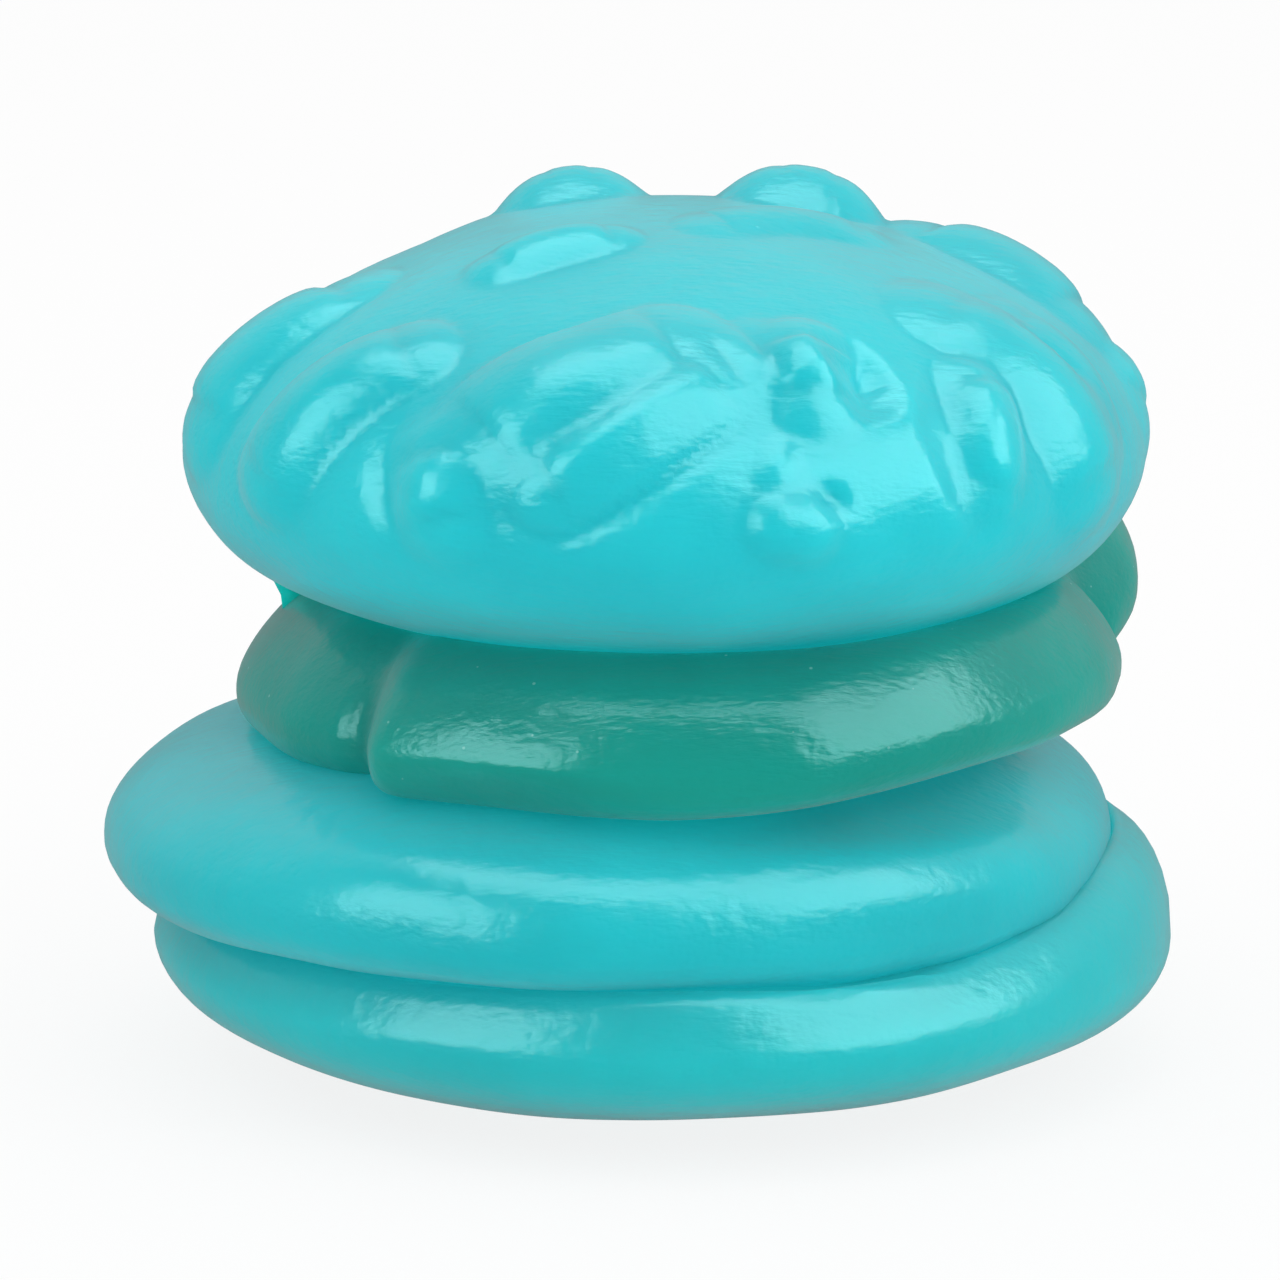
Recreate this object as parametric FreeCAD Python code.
import FreeCAD, Part
import math
import os
from collections import namedtuple

# A soft squeeze toy in the shape of a burger: four moulded layers stacked loosely and held
# together only by their own tack. Both buns and the patty are skins round a soft filling,
# each closed by a plug underneath. The lettuce is one solid ruffled leaf.
# Millimetres, +Z up, +X to the right of the front, +Y to the back.

# ---------------------------------------------------------------- driving dimensions
WALL = 1.8                 # thickness of the moulded skins
FILL_GAP = 0.3             # room left between a filling and its skin
RING_POINTS = 36           # points round each ring of a soft form
NET_REACH = 1.012          # how far outside its surface the widest ring of points lies
ARC_STEPS = 5              # rings on each rounded shoulder

PORT_RADIUS = 3.0          # mouth of a filling port
PLUG_FLARE = 0.6           # how much wider the plug is at its inner end
PLUG_RECESS = 0.4          # depth of the plug below the outer face

BUN_RADIUS = 31.0          # bottom bun, at its widest
BUN_TOP = 9.9              # plane where the patty rests on it
PATTY_RADIUS = 30.5
PATTY_TOP = 20.9           # plane where the lettuce rests on the patty
LETTUCE_RADIUS = 27.8
LETTUCE_TOP = 27.1         # plane where the top bun rests on the lettuce
CROWN_RADIUS = 29.1        # top bun, at its widest
CROWN_TOP = 51.9           # top of the dome between the seeds

LIP_RISE = 4.0             # how far the bottom bun's edge stands up beside the patty
LIP_HALF_ANGLE = 62.0      # degrees round the right side that this lip takes
LIP_SHARE = (0.0, 0.5, 0.95, 1.0, 0.2, 0.0)     # how much of it each ring has, rim to flat top
LEAF_CENTRE = (0.5, 0.0)
# Radius, height above the patty and share of the ruffle of each ring of the leaf, from below up.
LEAF_LEVELS = ((9.0, 0.0, 0.0), (15.0, 0.45, 0.0), (20.5, 0.4, 0.3), (25.0, -0.1, 0.9),
               (27.0, 0.5, 1.0), (LETTUCE_RADIUS, 1.8, 1.0), (27.1, 3.5, 1.0), (25.3, 5.4, 0.9),
               (22.0, 7.3, 0.2), (18.0, 6.5, 0.0), (13.5, 6.05, 0.0),
               (10.0, LETTUCE_TOP - PATTY_TOP, 0.0))
LEAF_FOLDS = (-131.0, 2.0, 80.0, 150.0)   # degrees round the leaf where it is folded in
FOLD_DEPTH = 2.0
FOLD_RISE = 0.5
FOLD_HALF_ANGLE = 18.0
LEAF_CURL = (29.0, 30.0)   # degrees round the leaf of the lobe that curls up, and its half width
LEAF_LEAN = (0.35, 0.4)    # how far its lip stands up at the right and at the back
CURL_RISE = 3.2
CURL_REACH = 3.2

# A filled layer: its centre, the planes and discs it touches its neighbours with, and its
# widest ring. A power sets how full a shoulder is: 2 is an ellipse. lean tips the rim, in
# degrees, and lip is how far the edge stands up on the right.
Layer = namedtuple("Layer", "name centre bottom bottom_disc rim_radius rim_height "
                            "top top_disc power_below power_above lean lip")
bottom_bun = Layer("bottom_bun", (0.0, 0.0), 0.0, 12.0, BUN_RADIUS, 7.4,
                   BUN_TOP, 24.0, 2.0, 2.0, 0.0, LIP_RISE)
patty = Layer("patty", (-3.3, -0.4), BUN_TOP, 19.0, PATTY_RADIUS, 13.7,
              PATTY_TOP, 14.0, 2.0, 2.0, 1.0, 0.0)
top_bun = Layer("top_bun", (0.1, 0.0), LETTUCE_TOP, 10.0, CROWN_RADIUS, 37.0,
                CROWN_TOP, 4.0, 2.0, 1.9, 0.0, 0.0)

# Seeds moulded into the crown: degrees round it, distance from its axis, length, width,
# height above the dome, and degrees that the seed is turned from pointing straight down it.
Seed = namedtuple("Seed", "turn reach length width height heading")
SEEDS = (
    Seed(125.0, 11.5, 8.5, 7.0, 1.7, 55.0),
    Seed(45.0, 12.0, 8.5, 7.5, 2.5, -45.0),
    Seed(-26.0, 8.5, 12.5, 5.0, 0.7, 59.0),
    Seed(-121.0, 12.5, 12.0, 5.0, 0.8, -24.0),
    Seed(-164.0, 24.0, 12.0, 7.0, 0.7, -5.0),
    Seed(-141.0, 25.0, 13.0, 6.5, 1.3, -30.0),
    Seed(-117.0, 27.0, 6.5, 5.0, 0.9, -57.0),
    Seed(-97.0, 23.8, 16.0, 8.0, 1.6, -58.0),
    Seed(-69.0, 22.5, 8.0, 7.0, 1.6, -50.0),
    Seed(-47.0, 26.3, 8.0, 6.0, 1.3, -25.0),
    Seed(-28.0, 24.3, 12.0, 7.5, 1.3, 10.0),
    Seed(14.0, 21.3, 12.0, 8.5, 2.6, -15.0),
    Seed(4.0, 27.3, 6.5, 5.0, 0.9, 70.0),
    Seed(62.0, 24.0, 10.0, 7.0, 1.3, 10.0),
    Seed(96.0, 23.0, 10.0, 7.0, 1.4, -15.0),
    Seed(129.0, 25.0, 11.0, 7.0, 1.4, 20.0),
    Seed(160.0, 25.5, 9.0, 6.5, 0.6, -10.0),
)


# ---------------------------------------------------------------- smooth soft forms
def shoulder(disc, rim, power):
    """Points (radius, height) of a rounded shoulder, from the edge of a flat disc to the rim."""
    points = []
    for step in range(ARC_STEPS + 1):
        angle = 0.5 * math.pi * step / ARC_STEPS
        outward = math.sin(angle) ** (2.0 / power)
        onward = 1.0 - math.cos(angle) ** (2.0 / power)
        points.append((disc[0] + (rim[0] - disc[0]) * outward,
                       disc[1] + (rim[1] - disc[1]) * onward))
    return points


def smooth_solid(rings):
    """A closed solid whose side is one smooth surface that follows the rings of points.

    The points are the control net of a cubic surface, closed round each ring. The first and
    last ring are flat, and a plane face closes each.
    """
    count = len(rings)
    net = [[FreeCAD.Vector(*ring[index]) for ring in rings] for index in range(RING_POINTS)]
    side = Part.BSplineSurface()
    side.buildFromPolesMultsKnots(net, [1] * (RING_POINTS + 1), [4] + [1] * (count - 4) + [4],
                                  list(range(RING_POINTS + 1)), list(range(count - 2)),
                                  True, False, 3, 3)
    faces = [side.toShape()]
    for end in (0, count - 3):
        faces.append(Part.Face(Part.Wire(side.vIso(end).toShape())))
    shell = Part.Shell(faces)
    shell.sewShape()
    solid = Part.Solid(shell)
    return solid if solid.Volume > 0.0 else solid.reversed()


def turns():
    """Angles of the points round one ring, in radians."""
    return [2.0 * math.pi * index / RING_POINTS for index in range(RING_POINTS)]


def swell(angle, middle, half_angle):
    """A smooth hump round one direction: 1 at middle, 0 beyond half_angle. Degrees."""
    away = abs((math.degrees(angle) - middle + 180.0) % 360.0 - 180.0) / half_angle
    return 0.0 if away >= 1.0 else math.cos(0.5 * math.pi * away) ** 2


def cushion(layer, inset):
    """The layer's outer form, or the form that lies inset from it on every side."""
    thickness = layer.top - layer.bottom
    squeeze = (thickness - 2.0 * inset) / thickness
    rim = (layer.rim_radius - inset,
           layer.bottom + inset + (layer.rim_height - layer.bottom) * squeeze)
    low = shoulder((layer.bottom_disc, layer.bottom + inset), rim, layer.power_below)
    high = shoulder((layer.top_disc, layer.top - inset), rim, layer.power_above)
    levels = [(radius, height, 0.0) for radius, height in low[:-1]]
    levels += [(radius, height, layer.lip * squeeze * share)
               for (radius, height), share in zip(high[::-1], LIP_SHARE)]
    slope = math.tan(math.radians(layer.lean))
    rings = []
    for index, (radius, height, lip) in enumerate(levels):
        flat = index in (0, len(levels) - 1)
        tip = 0.0 if flat else slope * (radius - layer.bottom_disc) / radius
        ring = []
        for angle in turns():
            x = radius * NET_REACH * math.cos(angle)
            y = radius * NET_REACH * math.sin(angle)
            z = height + lip * swell(angle, 0.0, LIP_HALF_ANGLE) + max(tip, 0.0) * x
            ring.append((x + layer.centre[0], y + layer.centre[1], z))
        rings.append(ring)
    return smooth_solid(rings)


# ---------------------------------------------------------------- pieces of a filled layer
def plug(layer):
    """The tapered plug that closes a skin's filling port, set in from the outer face."""
    base = FreeCAD.Vector(layer.centre[0], layer.centre[1], layer.bottom + PLUG_RECESS)
    return Part.makeCone(PORT_RADIUS, PORT_RADIUS + PLUG_FLARE, WALL - PLUG_RECESS, base)


def port(layer):
    """The hole that the plug sits in, open to the outside through the recess."""
    base = FreeCAD.Vector(layer.centre[0], layer.centre[1], layer.bottom)
    mouth = Part.makeCylinder(PORT_RADIUS, PLUG_RECESS, base)
    return mouth.fuse(plug(layer))


def skin(layer, extra=()):
    """The hollow moulded wall, with anything extra joined to its outside."""
    outer = cushion(layer, 0.0)
    if extra:
        outer = outer.fuse(list(extra))
    return outer.cut([cushion(layer, WALL), port(layer)]).removeSplitter()


def filling(layer):
    """The soft core, a little clear of the wall round it."""
    return cushion(layer, WALL + FILL_GAP)


def seed(spec):
    """One seed: a flattened lump lying on the dome, half sunk in it."""
    across = top_bun.rim_radius
    rise = top_bun.top - top_bun.rim_height
    slope = math.sqrt(1.0 - (spec.reach / across) ** 2)
    angle = math.radians(spec.turn)
    outward = FreeCAD.Vector(math.cos(angle), math.sin(angle), 0.0)
    seat = (FreeCAD.Vector(top_bun.centre[0], top_bun.centre[1], top_bun.rim_height)
            + outward * spec.reach + FreeCAD.Vector(0.0, 0.0, rise * slope))
    normal = outward * (spec.reach / across ** 2) + FreeCAD.Vector(0.0, 0.0, slope / rise)
    normal.normalize()
    side = normal.cross(outward)
    side.normalize()
    along = side.cross(normal)
    heading = math.radians(spec.heading)
    lengthways = along * math.cos(heading) + side * math.sin(heading)
    widthways = normal.cross(lengthways)
    stretch = FreeCAD.Matrix(lengthways * (spec.length / 2.0), widthways * (spec.width / 2.0),
                             normal * spec.height, seat)
    return Part.makeSphere(1.0).transformGeometry(stretch)


# ---------------------------------------------------------------- the lettuce leaf
def lettuce_leaf():
    """A thick leaf with a full rounded edge, folded in at a few places, raised at the back right."""
    rings = []
    for radius, rise, ruffle in LEAF_LEVELS:
        ring = []
        for angle in turns():
            fold = sum(swell(angle, middle, FOLD_HALF_ANGLE) for middle in LEAF_FOLDS)
            reach = radius * NET_REACH - FOLD_DEPTH * ruffle * fold
            lift = (LEAF_LEAN[0] * math.cos(angle) + LEAF_LEAN[1] * math.sin(angle)
                    + CURL_RISE * swell(angle, *LEAF_CURL) + FOLD_RISE * fold)
            spread = reach + CURL_REACH * ruffle * swell(angle, *LEAF_CURL)
            ring.append((LEAF_CENTRE[0] + spread * math.cos(angle),
                         LEAF_CENTRE[1] + spread * math.sin(angle),
                         PATTY_TOP + rise + ruffle * lift))
        rings.append(ring)
    return smooth_solid(rings)


# ---------------------------------------------------------------- the whole toy
def build():
    """Every piece by name, with the origin under the middle of the whole toy."""
    pieces = {}
    for layer in (bottom_bun, patty, top_bun):
        lumps = [seed(spec) for spec in SEEDS] if layer is top_bun else []
        pieces[layer.name + "_skin"] = skin(layer, lumps)
        pieces[layer.name + "_filling"] = filling(layer)
        pieces[layer.name + "_plug"] = plug(layer)
    pieces["lettuce_leaf"] = lettuce_leaf()
    box = Part.makeCompound(list(pieces.values())).optimalBoundingBox()
    to_middle = FreeCAD.Vector(-box.Center.x, -box.Center.y, -box.ZMin)
    for shape in pieces.values():
        shape.translate(to_middle)
    return pieces


os.makedirs("parts", exist_ok=True)
for name, shape in build().items():
    bounds = shape.optimalBoundingBox()
    print(f"{name:20} {len(shape.Solids)} solid  valid {shape.isValid()}  {shape.Volume:9.1f} mm3  "
          f"x {bounds.XMin:6.2f}..{bounds.XMax:6.2f}  y {bounds.YMin:6.2f}..{bounds.YMax:6.2f}  "
          f"z {bounds.ZMin:5.2f}..{bounds.ZMax:5.2f}")
    shape.exportStep(f"parts/{name}.step")
